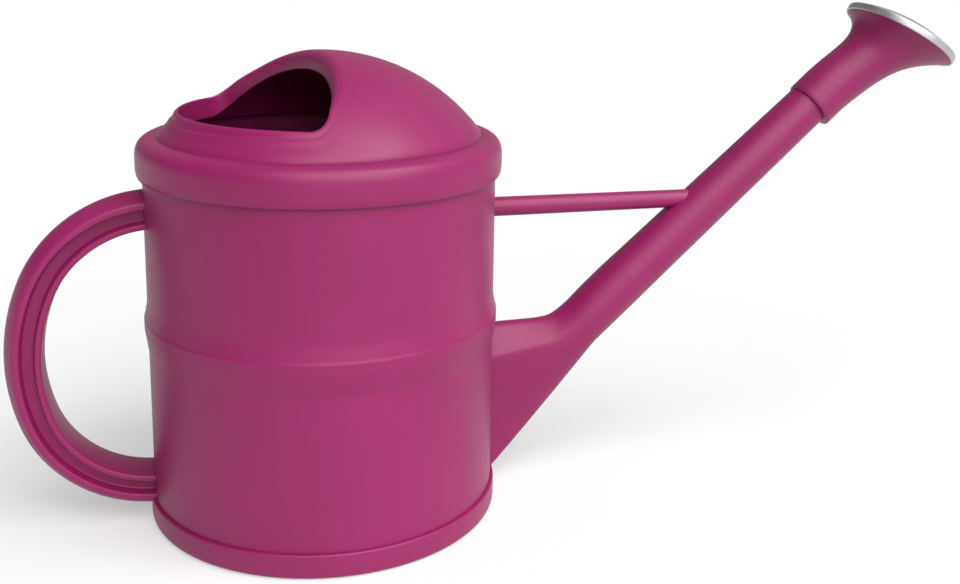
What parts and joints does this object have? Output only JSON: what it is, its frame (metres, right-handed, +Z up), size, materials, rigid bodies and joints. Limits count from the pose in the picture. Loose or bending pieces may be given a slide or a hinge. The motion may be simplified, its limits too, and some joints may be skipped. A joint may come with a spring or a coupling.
{
  "type": "watering can",
  "caption": "Round plastic watering can with a C handle, a domed hood with a side filler opening, a long braced spout and a perforated metal rose.",
  "frame": {"origin": "on the floor, at the axis of the round tank", "axes": "+Z up along the tank's axis, +X towards the spout and the rose, the handle on the -X side"},
  "size_m": [0.675, 0.2382, 0.344],
  "materials": {
    "magenta_plastic": "satin moulded polyethylene",
    "rose_metal": "dull pressed sheet metal",
    "black_rubber": "matte",
    "magenta_rubber": "matte",
    "steel": "plain stainless"
  },
  "bodies": {
    "can": {"drum": "magenta_plastic", "base_pan": "magenta_plastic", "handle": "magenta_plastic", "handle_plate_upper": "steel", "handle_plate_lower": "steel", "handle_gasket_upper": "black_rubber", "handle_gasket_lower": "black_rubber", "handle_screws": "steel", "spout": "magenta_plastic", "strainer": "magenta_plastic", "brace": "magenta_plastic", "brace_screw": "steel"},
    "hood_ring": {"hood_seal": "magenta_rubber"},
    "hood": {"hood": "magenta_plastic"},
    "rose_ring": {"rose_seal": "black_rubber"},
    "rose": {"rose_body": "magenta_plastic", "rose_plate": "rose_metal"}
  },
  "joints": [
    {"name": "hood_lift", "type": "slide", "parent": "can", "child": "hood_ring", "axis": [0, 0, 1], "range_m": [0, 0.08]},
    {"name": "hood_turn", "type": "hinge", "parent": "hood_ring", "child": "hood", "pos_m": [0, 0, 0.251], "axis": [0, 0, 1], "continuous": true},
    {"name": "rose_pull", "type": "slide", "parent": "can", "child": "rose_ring", "axis": [0.7455, 0, 0.6665], "range_m": [0, 0.03]},
    {"name": "rose_twist", "type": "hinge", "parent": "rose_ring", "child": "rose", "pos_m": [0.36, 0, 0.2704], "axis": [0.7455, 0, 0.6665], "continuous": true}
  ]
}
